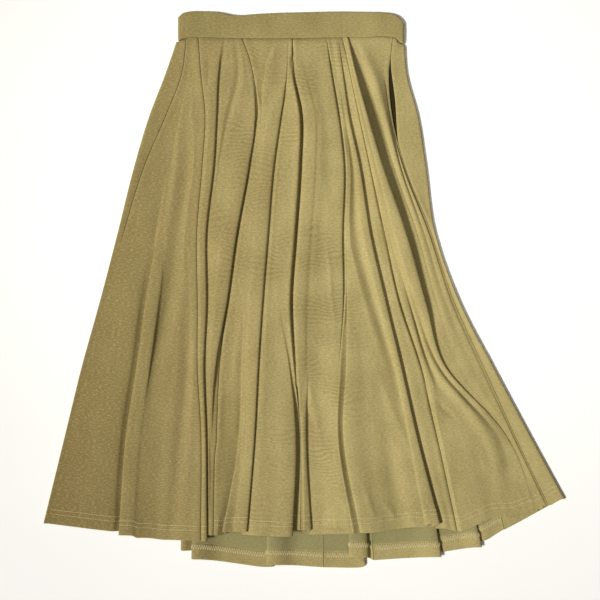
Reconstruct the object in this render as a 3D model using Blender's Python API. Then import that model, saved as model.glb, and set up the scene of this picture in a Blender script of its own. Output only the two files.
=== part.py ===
"""A pleated, gored midi skirt in heavy double knit, laid flat on a surface with its front up.

+X runs across the skirt, +Y from hem to waist and +Z up from the surface. The origin lies on the
surface, under the middle of the outline. Sizes are in millimetres, and the meshes in metres.

The cloth is one ring at each station between waist seam and hem: over the front from the left side
seam to the right one, round the right edge, back along the surface and round the left edge. The
ring is a smooth curve through control points that the tables of folds give, and the seams cut it
into gores.
"""

import math
from collections import namedtuple

import bmesh
import bpy
import numpy as np

MM = 0.001

# Overall sizes
MIDDLE_ACROSS = 0.36  # the middle of the outline in the across values of the tables below
LENGTH = 800.0  # top of the waistband to the lowest point of the back hem
CLOTH = 1.1  # thickness of the double knit
SEAM_GAP = 0.3  # between two gores at a seam
LAYER_GAP = 0.5  # between two layers that lie on each other
BAND_CLOTH = 2.4  # the waistband is doubled
BAND_MIDDLE = -18.5
BAND_HOLLOW = 0.8  # between the front and back of the flattened waistband
EDGE_ROLL = 3.4  # height of the roll where the cloth turns over at each side
SEAM_HALF = 1.6  # the flat stretch on each side of a seam
FRONT_LIES_DOWN = 150.0  # the lift between two folds of the front fades over this distance

# How the ring is sampled
STATIONS = (0, 0.035, 0.075, 0.12, 0.18, 0.25, 0.335, 0.43, 0.53, 0.62, 0.7, 0.79, 0.89, 1)
KINK_ROOM = 0.12  # the shortest leg on the inside of a bend
NOSE_STEPS = 2  # samples in each rounded corner of a lap
PLAIN_STEPS = 1

# Levels down from the top of the waistband. Every row below has one value for each level.
LEVELS = (38, 90, 150, 220, 320, 420, 510, 600, 760)
LEFT_EDGE = (-181, -199, -222, -243, -268, -294, -319, -341, -380)
RIGHT_EDGE = (144, 148, 164, 175, 189, 225, 272, 320, 407)
FRONT_LIES_AT = (4.4, 3.2, 2.4, 2.2, 2.2, 2.2, 2.2, 2.2, 2.2)  # height of the front where it rests

# The waistband, from left to right: how far down its top edge and its seam with the skirt lie.
Band = namedtuple("Band", "across top seam")
BAND = (
    Band(-181, 9, 43),
    Band(-175, 3, 40),
    Band(-166, 0.5, 38),
    Band(-150, 0, 37.5),
    Band(-125, 1, 38),
    Band(-99, 5.5, 38.5),
    Band(-70, 4, 39),
    Band(-40, 2.5, 39),
    Band(0, 1.5, 38.5),
    Band(52, 0.5, 37.5),
    Band(90, 1, 37.5),
    Band(112, 1.5, 36),
    Band(125, 3, 37.5),
    Band(134, 6.5, 42),
    Band(140, 12, 45.5),
    Band(144, 20, 47),
)

# A fold: over says which side's cloth lies over the other's, across and rise its place and height at
# each level, lap how far it turns under, slit how far away the other side comes up again and
# level to what share of the rise. hem is how far down the hem lies left and right of the fold.
# seam names the seam that runs in the fold.
Fold = namedtuple("Fold", "name over across rise lap slit level hem seam")
Seam = namedtuple("Seam", "name across rise hem")

LEFT_SEAM = (-169, -176, -199, -229, -260, -288, -313.5, -336, -375)
SEAM_B = (-90, -73, -71, -81, -99, -113, -121.5, -125, -125)
SEAM_C = (-16.5, -13.5, -3, -4, -10.5, -17, -12, -8, -11)
RIGHT_SEAM = (126, 122, 127, 144, 182, 215, 255.5, 297.5, 374)

FRONT = (
    Fold("side_pleat", "right",
         (-165, -170, -183, -195, -211, -228, -240, -254, -266),
         (0, 0, 0, 0, 3, 9, 10, 10, 10), 9, 10, 0.75, (747, 752), None),
    Fold("side_dip", "valley",
         (-162, -163, -166, -167, -181, -194, -213, -225, -236),
         (0, 0, 1, 4, 4, 4, 2, 0, 0), 0, 16, 0, (756, 756), None),
    Fold("low_side_dip", "valley",
         (-158, -157, -154, -155, -167, -165, -167, -175, -190),
         (0, 0, 0, 0, 0, 1, 4, 4, 3), 0, 13, 0, (759, 759), None),
    Seam("A", (-152, -148, -142, -146, -154, -153, -153, -148, -148),
         (0, 1, 2, 3, 3, 3, 3, 4, 4), 760),
    Fold("strip", "left",
         (-115, -123, -126, -130, -141, -140.5, -144, -141, -139),
         (0, 5, 6, 7, 7, 7, 6, 6, 6), 4, 4, 0.5, (760, 752), None),
    Fold("short_crease", "valley",
         (-99, -94, -108, -122, -130, -131, -136, -136, -134.5),
         (0, 3, 3, 1, 0, 0, 0, 0, 0), 0, 6, 0, (752, 752), None),
    Fold("crossing_pleat", "left",
         (-92, -75, -70, -79, -97, -111, -127, -132, -131),
         (0, 0, 4, 8, 10, 9, 6, 1, 0), 8, 4, 0.6, (752, 752), "B"),
    Fold("low_pleat", "right",
         (-39, -56.5, -60.5, -68, -81, -86, -89, -92, -119),
         (0, 5, 1, 0, 0, 0, 2, 3.5, 8), 5, 6, 0.6, (752, 747.5), None),
    Fold("long_pleat", "left",
         (-23, -25, -33.5, -43.5, -52, -60, -66, -70.5, -83),
         (0, 1.5, 7, 9, 9, 9, 9, 9, 9), 8, 4, 0.75, (747, 752), None),
    Fold("middle_left", "left",
         (-19, -20, -22, -28, -34, -36, -21, -12, -17),
         (0, 0, 0, 0, 0, 0, 2, 8.5, 9), 6, 3, 0, (753, 745), None),
    Fold("middle_slit", "right",
         (-15, -12, -1, -2, -8.5, -15, -10, -4.5, -3),
         (0, 6, 12, 13, 11, 10, 5.5, 0, 0), 5, 4, 0.85, (745, 745), "C"),
    Fold("wedge", "left",
         (-3, 6, 20, 20, 14, 8, 6, 3, 11),
         (0, 0, 0, 0, 0, 0, 0, 5, 6), 5, 3, 0.8, (745, 752), None),
    Fold("upper_crease", "left",
         (32, 39, 49, 57, 55, 56, 50, 46, 70),
         (0, 5, 8, 8, 7, 3, 0, 0, 0), 4, 3.5, 0.6, (750, 750), None),
    Fold("lower_crease", "right",
         (36, 44, 54, 63.5, 62, 62, 60.5, 56, 83),
         (0, 0, 0, 0, 0, 2, 7, 9, 8), 7, 9, 0.8, (749, 748), None),
    Fold("slant_dip", "valley",
         (42, 49.5, 59, 71, 76, 101, 128.5, 145.5, 174),
         (0, 0, 1, 4, 5, 5, 4, 1, 0), 0, 12, 0, (740, 740), None),
    Fold("slant_pleat", "left",
         (49, 56, 64, 79, 95, 118, 139.5, 159.5, 201),
         (0, 3, 5, 6, 6.5, 6.5, 7, 7.5, 8), 9, 9, 0.35, (735.5, 743), None),
    Fold("seam_lap", "right",
         (57.5, 68, 81, 97, 119.5, 141.5, 171, 193, 227),
         (0, 0, 0, 1, 4, 6, 5, 2, 1), 3, 3, 0.5, (746.5, 746.5), "D"),
    Fold("slant_ridge", "ridge",
         (60, 71, 84, 100.5, 125, 156, 188, 259, 288),
         (0, 0, 0, 0, 0, 2, 6, 6, 1), 0, 14, 0, (728, 728), None),
    Fold("broad_pleat", "left",
         (63, 74.5, 91, 112, 147, 175.5, 203, 284, 345),
         (2, 12, 18, 18, 15, 10, 3.5, 1.2, 0), 8, 13, 0.12, (718, 718), None),
    Fold("upper_ridge", "ridge",
         (78, 98, 116, 135, 168, 197, 233, 291, 360),
         (0, 7, 8, 6, 3, 2, 1, 0, 0), 0, 12, 0, (715, 715), None),
    Fold("side_step", "left",
         (123, 119, 124, 141, 180, 213, 253.5, 295.5, 372),
         (0, 0, 0, 2.5, 2.2, 1.5, 1, 1, 1), 0, 6, 0.1, (711, 710), "R"),
)

BACK = (
    Fold("back_pleat_1", "right",
         (-150, -152, -155, -158, -163, -168, -172, -175, -176),
         (0, 0, 0, 0, 0, 0, 2, 4, 5), 9, 6, 0.2, (754, 775), None),
    Fold("back_pleat_2", "right",
         (-135, -137, -139, -142, -146, -150, -153, -156, -160),
         (0, 0, 0, 0, 0, 0, 2, 4, 7), 6, 5, 0.5, (775, 787), None),
    Fold("back_pleat_3", "right",
         (-45, -46, -47, -48, -49, -50, -51, -52, -53),
         (0, 0, 0, 0, 0, 2, 3.5, 5, 8), 9, 7, 0.1, (799, 795), None),
    Seam("1", (2, 4, 6, 9, 13, 17, 21, 25, 28), (0, 0, 0, 0, 0, 0, 0, 0, 0), 799.5),
    Fold("back_pleat_4", "right",
         (26, 29, 32, 36, 42, 48, 54, 59, 65),
         (0, 0, 0, 0, 0, 2, 3.5, 5, 8), 22, 6, 0.1, (800, 784), None),
    Seam("2", (50, 54, 58, 63, 71, 78, 85, 91, 99), (0, 0, 0, 0, 0, 0, 0, 0, 1), 789),
    Fold("back_pleat_5", "left",
         (76, 82, 89, 98, 114, 131, 149, 167, 193),
         (0, 0, 0, 0, 0, 0, 2, 3.5, 5.5), 6, 3, 0, (784, 777), "3"),
    Fold("back_pleat_6", "left",
         (100, 107, 116, 128, 149, 172, 195, 218, 253),
         (0, 0, 0, 0, 0, 0, 2, 3.5, 5), 6, 5, 0.3, (770, 761), None),
    Seam("4", (118, 126, 136, 150, 176, 202, 229, 255, 292), (0, 0, 0, 0, 0, 0, 0, 0, 0), 745),
)

# The rows that run inside a fold
INNER_SEAMS = {
    "B": SEAM_B,
    "C": SEAM_C,
    "D": (55, 65, 78, 94, 116.5, 139, 168.5, 189.5, 223),
    "R": RIGHT_SEAM,
    "3": (79, 85, 92, 101, 117, 134, 152, 170, 196.5),
}
EDGE_HEMS = (736, 701)  # how far down the hem lies at the left and right edges
WIDE_SLIT = 9.0  # from this width a slit has a floor
SLIT_FLOOR = 0.22  # and this is how far across the slit it goes
FADED_STEP = 4.5  # half the length of the soft step that a faded fold leaves

# The mouth of the pocket is open in the right side seam
MOUTH = (64, 190)
MOUTH_OPEN = 6.5
BAG_CLOTH = 1.0
BAG_DOWN = (60, 252)  # top and bottom of the pocket bag
BAG_WIDE = 112.0
BAG_MARGIN = 26.0  # the front lies over the bag this far round it
BAG_LIFT_REACH = 50.0  # and comes down again over this
BAG_ROWS = 11
BAG_COLUMNS = 7

OLIVE = (0.355, 0.292, 0.125)  # linear colour of the cloth
OLIVE_DEEP = (0.300, 0.246, 0.105)
OLIVE_BACK = (0.265, 0.235, 0.115)


def clear_scene():
    for thing in list(bpy.data.objects):
        bpy.data.objects.remove(thing, do_unlink=True)


def knit(name, colour):
    """The finish of one piece of heavy double knit."""
    material = bpy.data.materials.new(name)
    material.use_nodes = True
    shader = material.node_tree.nodes["Principled BSDF"]
    shader.inputs["Base Color"].default_value = (*colour, 1)
    shader.inputs["Roughness"].default_value = 0.85
    shader.inputs["Metallic"].default_value = 0.0
    return material


def ease(x):
    """0 below 0, 1 above 1, and a smooth rise between."""
    x = min(max(x, 0.0), 1.0)
    return x * x * (3 - 2 * x)


def blend(a, b, share):
    return a + (b - a) * share


def smooth(xs, ys, x):
    """A smooth line through points, read at x. Beyond its ends it goes straight on."""
    k = int(np.clip(np.searchsorted(xs, x) - 1, 0, len(xs) - 2))
    slopes = np.gradient(ys, xs)
    span = xs[k + 1] - xs[k]
    u = (x - xs[k]) / span
    if u < 0 or u > 1:
        end = k + (u > 1)
        return ys[end] + slopes[end] * (x - xs[end])
    return (
        ys[k] * (1 + 2 * u) * (1 - u) ** 2
        + slopes[k] * span * u * (1 - u) ** 2
        + ys[k + 1] * u * u * (3 - 2 * u)
        + slopes[k + 1] * span * u * u * (u - 1)
    )


def along(values, down):
    """A row's value at a distance down."""
    return smooth(LEVELS, values, down)


def rise_of(row, down):
    return max(0.0, along(row.rise, down))


def band_seam(across):
    return smooth([b.across for b in BAND], [b.seam for b in BAND], across)


def band_top(across):
    return smooth([b.across for b in BAND], [b.top for b in BAND], across)


def waist(across):
    """Where the skirt's own top edge lies, just below the waistband."""
    corner = ease((abs(across - BAND_MIDDLE) - 132) / 16)
    return band_seam(across) + SEAM_GAP + 0.5 * corner


def hump(distance, flat, reach):
    """1 within flat of the middle, falling to 0 by reach."""
    return 1 - ease((abs(distance) - flat) / (reach - flat))


def rests_at(across, down):
    """The height of the front's cloth where it rests on the back, its folds and the pocket bag."""
    height = along(FRONT_LIES_AT, down)
    for row in BACK:
        if isinstance(row, Fold):
            side = 1 if row.over == "right" else -1
            off = (across - along(row.across, down)) * side
            middle = 7 + row.lap / 2
            over = rise_of(row, down) * hump(off - middle, 16 + row.lap / 2, 48 + row.lap / 2)
            height = max(height, CLOTH * 1.5 + LAYER_GAP + over)
    edge = along(RIGHT_SEAM, down)
    middle_down = (BAG_DOWN[0] + BAG_DOWN[1]) / 2
    half_down = (BAG_DOWN[1] - BAG_DOWN[0]) / 2
    half_down += BAG_MARGIN
    half_wide = BAG_WIDE / 2 + 10
    covered = hump(down - middle_down, half_down, half_down + BAG_LIFT_REACH) * hump(
        across - (edge - BAG_WIDE / 2 + 4), half_wide, half_wide + BAG_LIFT_REACH
    )
    over_bag = CLOTH * 1.5 + 2 * BAG_CLOTH + 3.2 * LAYER_GAP
    return max(height, blend(height, over_bag, covered))


Point = namedtuple("Point", "across down height steps seam")


def place(row, share, side):
    """Where a row lies at a share of the way from waist to hem: (across, down, rise).

    side picks the hem left (0) or right (1) of a fold.
    """
    hem = row.hem[side] if isinstance(row, Fold) else row.hem
    top = waist(row.across[0])
    down = top + (hem - top) * share
    return along(row.across, down), down, rise_of(row, down)


def lap(row, share, room, climb, ground, seam_across):
    """The points of a lap from its crest, round its nose and back under, to the other side.

    room is what it may take on each side, and climb how far away the next standing folds are.
    """
    turned = row.over == "right"
    upper, lower = (1, 0) if turned else (0, 1)
    way = -1 if turned else 1
    nose, nose_down, rise = place(row, share, upper)
    foot, foot_down, foot_rise = place(row, share, lower)
    over_room, under_room = (room[1], room[0]) if turned else room
    most = min(1.2 * climb[turned], 0.5 + 2 * under_room)
    rise, foot_rise = min(rise, most), min(foot_rise, most)
    step = 1.5 if row.seam else blend(1.5, FADED_STEP, ease(3.2 - rise))
    small = min(step, 0.2 * min(over_room, under_room))
    full = ease((rise - 3.2) / 2.4)
    turn_in = row.lap * ease((rise - 2.5) / 5)
    crest = min(4 + 0.55 * rise + turn_in, over_room)
    under = max(0.0, min(turn_in, crest - 2.5)) * full - small * (1 - full)
    middle_down = (nose_down + foot_down) / 2
    near = small * (1 - full)
    shape = [
        (nose - way * crest, nose_down, rise, PLAIN_STEPS),
        (nose - way * near, nose_down, rise, NOSE_STEPS),
        (nose - way * near / 3, nose_down, rise * blend(0.67, 0.5, full), PLAIN_STEPS),
        (nose - way * blend(-near / 3, under, full), middle_down, rise * blend(0.33, 0.5, full), NOSE_STEPS),
        (nose - way * under, foot_down, 0, PLAIN_STEPS),
    ]
    points = [Point(x, d, ground(x, d) + z, steps, None) for x, d, z, steps in shape]
    reach = min(row.slit + small, under_room)
    if row.seam:
        half = min(SEAM_HALF, 0.2 * under_room)
        spare = min(1.2, 0.17 * under_room)
        at = min((seam_across - nose) * way, under_room - half - spare)
        at = max(at, spare + half - under)
        for step in (-half, half):
            x = nose + way * (at + step)
            points.append(Point(x, foot_down, ground(x, foot_down), PLAIN_STEPS, None))
        first = len(points) - 2 if way > 0 else len(points) - 1
        points[first] = points[first]._replace(seam=row.seam)
        reach = max(reach, at + half + spare)
    last = nose + way * reach
    floor = 1.8
    if row.slit >= WIDE_SLIT:
        floor = SLIT_FLOOR * reach
        x = nose + way * floor
        points.append(Point(x, foot_down, ground(x, foot_down), PLAIN_STEPS, None))
    level = min(foot_rise * row.level, max(0.0, 2.2 * (reach - floor)))
    if full > 0.05:
        level = min(level, max(0.0, rise - 3.2))
    height = ground(last, foot_down) + level
    points.append(Point(last, foot_down, height, PLAIN_STEPS, None))
    return points[::-1] if turned else points


def soft(row, share, room, ground):
    """The points of a soft valley or ridge."""
    x, down, rise = place(row, share, 0)
    reach = min(row.slit, room[0]), min(row.slit, room[1])
    sides, middle = (rise, 0) if row.over == "valley" else (0.25 * rise, rise)
    return [
        Point(at, down, ground(at, down) + z, PLAIN_STEPS, None)
        for at, z in ((x - reach[0], sides), (x, middle), (x + reach[1], sides))
    ]


def plain_seam(row, share, room, ground):
    x, down, rise = place(row, share, 0)
    half = min(SEAM_HALF, *room)
    z = ground(x, down) + rise
    return [
        Point(x - half, down, z, PLAIN_STEPS, row.name),
        Point(x + half, down, z, PLAIN_STEPS, None),
    ]


def rests_between(before, after):
    """How many points the cloth gets between two folds, by their greatest distance."""
    gap = max(np.subtract(after, before))
    return int(gap > 24) + int(gap > 55) + int(gap > 85) + int(gap > 130)


def lifted(groups, rises, ground, lies_down):
    """The groups with the faded folds raised to the cloth that the folds beside them hold up. One
    with a seam in it keeps its own slope."""
    over = [[p.height - ground(p.across, p.down) for p in group] for group in groups]
    faded = [1 - ease(rise / 4) for rise in rises]
    lifts = [[0.0] * len(group) for group in groups]
    for _ in range(12):
        for k in range(1, len(groups) - 1):
            before, after = groups[k - 1][-1].across, groups[k + 1][0].across
            ends = over[k - 1][-1] + lifts[k - 1][-1], over[k + 1][0] + lifts[k + 1][0]
            wide = max(after - before, 1.0)
            held = faded[k] * math.exp(-wide / 2 / lies_down)
            shares = [min(max((p.across - before) / wide, 0.0), 1.0) for p in groups[k]]
            if any(p.seam for p in groups[k]):
                shares = [(shares[0] + shares[-1]) / 2] * len(shares)
            lifts[k] = [held * blend(*ends, share) for share in shares]
    return [
        [p._replace(height=p.height + lift) for p, lift in zip(*pair)]
        for pair in zip(groups, lifts)
    ]


def climbs(at, rises):
    """How far it is from each row to the next standing fold on its left and on its right."""
    result = []
    for k in range(1, len(at) - 1):
        left = [x for x, rise in zip(at[:k], rises) if rise > 2.5] or at[:1]
        right = [x for x, rise in zip(at[k + 1:], rises[k + 1:]) if rise > 2.5] or at[-1:]
        result.append((at[k] - left[-1], right[0] - at[k]))
    return result


def layer(rows, ends, end_hems, share, ground, lies_down):
    """The control points of one layer, from left to right, without its edges."""
    tops = [waist(end[0]) for end in ends]
    end_down = [top + (hem - top) * share for top, hem in zip(tops, end_hems)]
    at = [along(ends[0], end_down[0])]
    at += [(place(r, share, 0)[0] + place(r, share, 1)[0]) / 2 for r in rows]
    at += [along(ends[1], end_down[1])]
    rises = [0.0] + [place(r, share, 0)[2] for r in rows] + [0.0]
    climb = climbs(at, rises)
    groups = []
    for k, row in enumerate(rows):
        room = [
            (at[n + 1] - at[n]) * (0.08 + 0.78 * (rises[k + 1] + 1) / (rises[n] + rises[n + 1] + 2))
            for n in (k, k + 1)
        ]
        if isinstance(row, Seam):
            groups.append(plain_seam(row, share, room, ground))
        elif row.over in ("left", "right"):
            seam_across = 0.0
            if row.seam:
                under_side = 0 if row.over == "right" else 1
                seam_across = along(INNER_SEAMS[row.seam], place(row, share, under_side)[1])
            groups.append(lap(row, share, room, climb[k], ground, seam_across))
        else:
            groups.append(soft(row, share, room, ground))
    if lies_down:
        groups = lifted(groups, rises[1:-1], ground, lies_down)
    points = []
    for k, group in enumerate(groups):
        if k:
            before, after = groups[k - 1][-1], group[0]
            count = rests_between(rows[k - 1].across, rows[k].across)
            gap = after.across - before.across
            over = [p.height - ground(p.across, p.down) for p in (before, after)]
            for n in range(count):
                s = (n + 1) / (count + 1)
                x, down = blend(before.across, after.across, s), blend(before.down, after.down, s)
                z = blend(*over, s) * math.exp(-gap / lies_down) if lies_down else 0.0
                points.append(Point(x, down, ground(x, down) + z, PLAIN_STEPS, None))
        points += group
    return points


def on_surface(across, down):
    return CLOTH / 2


def mouth_gap(down):
    """How far the pocket's mouth stands open."""
    s = (down - MOUTH[0]) / (MOUTH[1] - MOUTH[0])
    return MOUTH_OPEN * math.sin(math.pi * s) ** 1.3 if 0 < s < 1 else 0.0


def right_turn(share):
    """Round the right edge, from the side seam on top to the surface."""
    top = waist(RIGHT_EDGE[0])
    down = top + (EDGE_HEMS[1] - top) * share
    edge = along(RIGHT_EDGE, down)
    seam_down = place(FRONT[-1], share, 1)[1]
    inner = min(along(RIGHT_SEAM, seam_down) + mouth_gap(seam_down) + 4, edge - 2.5)
    roll = min(6.0, 0.4 * (edge - inner))
    low, high = CLOTH / 2, CLOTH / 2 + EDGE_ROLL
    return [
        Point(edge - roll, down, high, PLAIN_STEPS, None),
        Point(edge, down, high, NOSE_STEPS, None),
        Point(edge, down, low, NOSE_STEPS, None),
        Point(edge - 5, down, low, PLAIN_STEPS, None),
    ]


def left_turn(share):
    """Round the left edge, from the surface to just past the side seam on top."""
    top = waist(LEFT_EDGE[0])
    down = top + (EDGE_HEMS[0] - top) * share
    edge = along(LEFT_EDGE, down)
    seam = along(LEFT_SEAM, down)
    roll = min(6.0, 0.4 * (seam - edge))
    low, high = CLOTH / 2, CLOTH / 2 + EDGE_ROLL
    half = min(SEAM_HALF, 0.3 * (seam - edge))
    at_seam = blend(high, rests_at(seam, down) + 0.4, ease((seam - edge - 5) / 10))
    return [
        Point(edge + 5, down, low, PLAIN_STEPS, None),
        Point(edge, down, low, NOSE_STEPS, None),
        Point(edge, down, high, NOSE_STEPS, None),
        Point(edge + roll, down, high, PLAIN_STEPS, None),
        Point(seam - half, down, at_seam, PLAIN_STEPS, "L"),
        Point(seam + half, down, at_seam, PLAIN_STEPS, None),
    ]


def ring(share):
    """The control points all round at a share of the way from waist to hem, starting at the left
    side seam and going over the front first."""
    ends = (LEFT_SEAM, RIGHT_EDGE)
    front = layer(FRONT, ends, EDGE_HEMS, share, rests_at, FRONT_LIES_DOWN)
    last = front[-3]
    gap = mouth_gap(last.down)
    front[-2] = front[-2]._replace(across=front[-2].across + gap)
    front[-1] = front[-1]._replace(across=max(front[-1].across, front[-2].across + 0.5))
    back = layer(BACK, (LEFT_EDGE, RIGHT_EDGE), EDGE_HEMS, share, on_surface, None)
    swapped = []
    for k, point in enumerate(back):  # a seam is tagged at its first point in the ring's order
        before = back[k - 1].seam if k else None
        swapped.append(point._replace(seam=before))
    left = left_turn(share)
    return left[4:] + front + right_turn(share) + swapped[::-1] + left[:4]


def open_kinks(at):
    """Eases the bends that are too sharp for the thickness of the cloth."""
    for _ in range(40):
        legs = (np.roll(at, -1, axis=0) - at)[:, [0, 2]]
        lengths = np.linalg.norm(legs, axis=1)
        headings = np.arctan2(legs[:, 1], legs[:, 0])
        turns = (headings - np.roll(headings, 1) + np.pi) % (2 * np.pi) - np.pi
        half = np.tan(np.clip(turns / 2, -1.2, 1.2)) * CLOTH / 2
        left = lengths - np.abs(half + np.roll(half, -1))
        tight = left < KINK_ROOM
        if not tight.any():
            break
        moved = (tight | np.roll(tight, 1))[:, None] * np.array([1, 0, 1])
        middle = (np.roll(at, -1, axis=0) + np.roll(at, 1, axis=0)) / 2
        at = at + 0.3 * moved * (middle - at)
    return at


def sample(points):
    """The smooth ring and the way square to it: (points, normals, tangents, seams). The curve runs
    through the middle of each leg of the control polygon, along that leg."""
    control = np.array([(p.across, p.down, p.height) for p in points])
    middles = (control + np.roll(control, -1, axis=0)) / 2
    at, seams = [], {}
    for k, point in enumerate(points):
        a, v, b = middles[k - 1], control[k], middles[k]
        if points[k - 1].seam:
            seams[points[k - 1].seam] = len(at)
        for n in range(point.steps):
            t = n / point.steps
            at.append(a * (1 - t) ** 2 + 2 * v * t * (1 - t) + b * t * t)
    at = open_kinks(np.array(at))
    legs = (np.roll(at, -1, axis=0) - at)[:, [0, 2]]
    legs /= np.maximum(np.linalg.norm(legs, axis=1), 1e-6)[:, None]
    way = legs + np.roll(legs, 1, axis=0)
    way /= np.maximum(np.linalg.norm(way, axis=1), 1e-6)[:, None]
    along_leg = np.clip((way * legs).sum(axis=1), 0.7, 1)
    up = np.stack([-way[:, 1], np.zeros(len(at)), way[:, 0]], axis=1) / along_leg[:, None]
    way = np.stack([way[:, 0], np.zeros(len(at)), way[:, 1]], axis=1)
    return at, up, way, seams


def to_world(points):
    """Across, down and height to the frame of the part, in metres."""
    points = np.asarray(points, float)
    x, y = points[..., 0] - MIDDLE_ACROSS, LENGTH / 2 - points[..., 1]
    return np.stack([x, y, points[..., 2]], axis=-1) * MM


def wall(name, outer, inner, material):
    """A closed wall between two grids of points, rows from waist to hem."""
    rows, columns = outer.shape[:2]
    mesh = bpy.data.meshes.new(name)
    shape = bmesh.new()
    grids = [[[shape.verts.new(p) for p in line] for line in to_world(g)] for g in (outer, inner)]

    def quad(a, b, c, d, turned=False):
        if turned:
            a, b, c, d = b, c, d, a
        shape.faces.new((a, b, c))
        shape.faces.new((a, c, d))

    out, back = grids
    for i in range(rows - 1):
        for j in range(columns - 1):
            a, b, c, d = out[i][j], out[i + 1][j], out[i + 1][j + 1], out[i][j + 1]
            turned = (a.co - c.co).length > (b.co - d.co).length
            quad(a, b, c, d, turned)
            quad(back[i][j + 1], back[i + 1][j + 1], back[i + 1][j], back[i][j], not turned)
        quad(out[i + 1][0], out[i][0], back[i][0], back[i + 1][0])
        quad(out[i][-1], out[i + 1][-1], back[i + 1][-1], back[i][-1])
    for j in range(columns - 1):
        quad(out[0][j], out[0][j + 1], back[0][j + 1], back[0][j])
        quad(out[-1][j + 1], out[-1][j], back[-1][j], back[-1][j + 1])
    bmesh.ops.recalc_face_normals(shape, faces=shape.faces)
    shape.to_mesh(mesh)
    shape.free()
    mesh.materials.append(material)
    piece = bpy.data.objects.new(name, mesh)
    bpy.context.scene.collection.objects.link(piece)
    return piece


def half_gap(seam, down):
    extra = mouth_gap(down) / 2 if seam == "R" else 0.0
    return SEAM_GAP / 2 + extra


def cloth_between(rings, first, last):
    """The outer and inner points of the gore between two seams."""
    outer, inner = [], []
    for at, up, way, seams in rings:
        start, end = seams[first], seams[last]
        if end <= start:
            end += len(at)
        span = np.arange(start, end + 1) % len(at)
        line, out = at[span], up[span] * CLOTH / 2
        line[0] += way[span[0]] * half_gap(first, line[0][1])
        line[-1] -= way[span[-1]] * half_gap(last, line[-1][1])
        outer.append(line + out)
        inner.append(line - out)
    for grid in (outer, inner):
        grid[0][:, 1] = [waist(x) for x in grid[0][:, 0]]
    return np.array(outer), np.array(inner)


def make_gores():
    rings = [sample(ring(share)) for share in STATIONS]
    front = [("L", "A"), ("A", "B"), ("B", "C"), ("C", "D"), ("D", "R")]
    back = [("1", "L"), ("2", "1"), ("3", "2"), ("4", "3"), ("R", "4")]
    for kind, seams, colour in (("front", front, OLIVE), ("back", back, OLIVE_BACK)):
        for number, (first, last) in enumerate(seams, 1):
            name = f"{kind}_gore_{number}"
            wall(name, *cloth_between(rings, first, last), knit(f"knit_{name}", colour))


def make_waistband():
    """A ring of doubled cloth, flattened: over the front from left to right and back below."""
    low = BAND_CLOTH / 2
    high = low + BAND_CLOTH + BAND_HOLLOW
    outer, inner = [], []
    inset = 2.2
    left, right = BAND[0].across, BAND[-1].across
    rows = sorted([b.across for b in BAND] + [(a.across + b.across) / 2 for a, b in zip(BAND, BAND[1:])])
    rows = [left + inset] + rows[2:-2] + [right - inset]
    turn = [(x, high) for x in rows] + [(right, (low + high) / 2)]
    turn += [(x, low) for x in rows[::-1]] + [(left, (low + high) / 2)]
    for share in (0, 0.5, 1):
        line = [(x, blend(band_top(x), band_seam(x), share), z) for x, z in turn]
        line = np.array(line)
        step = np.roll(line, -1, axis=0) - np.roll(line, 1, axis=0)
        step[:, 1] = 0
        step /= np.linalg.norm(step, axis=1)[:, None]
        up = np.stack([-step[:, 2], np.zeros(len(step)), step[:, 0]], axis=1)
        outer.append(line + up * BAND_CLOTH / 2)
        inner.append(line - up * BAND_CLOTH / 2)
    outer, inner = to_world(outer), to_world(inner)
    mesh = bpy.data.meshes.new("waistband")
    shape = bmesh.new()
    out, back = ([[shape.verts.new(p) for p in line] for line in g] for g in (outer, inner))
    count = len(out[0])
    for j in range(count):
        n = (j + 1) % count
        for i in range(len(out) - 1):
            shape.faces.new((out[i][j], out[i + 1][j], out[i + 1][n], out[i][n]))
            shape.faces.new((back[i][n], back[i + 1][n], back[i + 1][j], back[i][j]))
        shape.faces.new((out[0][j], out[0][n], back[0][n], back[0][j]))
        shape.faces.new((out[-1][n], out[-1][j], back[-1][j], back[-1][n]))
    bmesh.ops.triangulate(shape, faces=shape.faces)
    bmesh.ops.recalc_face_normals(shape, faces=shape.faces)
    shape.to_mesh(mesh)
    shape.free()
    mesh.materials.append(knit("knit_waistband", OLIVE))
    piece = bpy.data.objects.new("waistband", mesh)
    bpy.context.scene.collection.objects.link(piece)


def make_pocket_bag():
    """Two flat pieces that lie between front and back, joined to the edges of the mouth."""
    middle = (BAG_DOWN[0] + BAG_DOWN[1]) / 2
    half = (BAG_DOWN[1] - BAG_DOWN[0]) / 2
    low = CLOTH + LAYER_GAP * 0.8 + BAG_CLOTH / 2
    high = low + BAG_CLOTH + LAYER_GAP * 0.8
    for name, height in (("pocket_bag_back", low), ("pocket_bag_front", high)):
        outer = []
        for i in range(BAG_ROWS):
            s = math.sin(math.pi / 2 * (2 * i / (BAG_ROWS - 1) - 1))
            down = middle + half * s
            edge = along(RIGHT_SEAM, down)
            wide = 14 + (BAG_WIDE - 14) * (1 - abs(s) ** 2.6) ** 0.5
            if height == high:
                ends = (edge - wide, edge - 2.5)
                line = [(blend(*ends, j / (BAG_COLUMNS - 1)), down, height) for j in range(BAG_COLUMNS)]
            else:
                ends = (edge - wide, edge - 1.5)
                line = [(blend(*ends, j / (BAG_COLUMNS - 1)), down, height) for j in range(BAG_COLUMNS)]
                line += [
                    (edge + 3.5, down, high),
                    (edge + 5 + mouth_gap(down) , down, high),
                ]
            outer.append(line)
        outer = np.array(outer)
        outer[..., 2] += BAG_CLOTH / 2
        inner = outer.copy()
        inner[..., 2] -= BAG_CLOTH
        wall(name, outer, inner, knit(f"knit_{name}", OLIVE_DEEP))


def main():
    clear_scene()
    make_waistband()
    make_gores()
    make_pocket_bag()


main()
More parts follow.
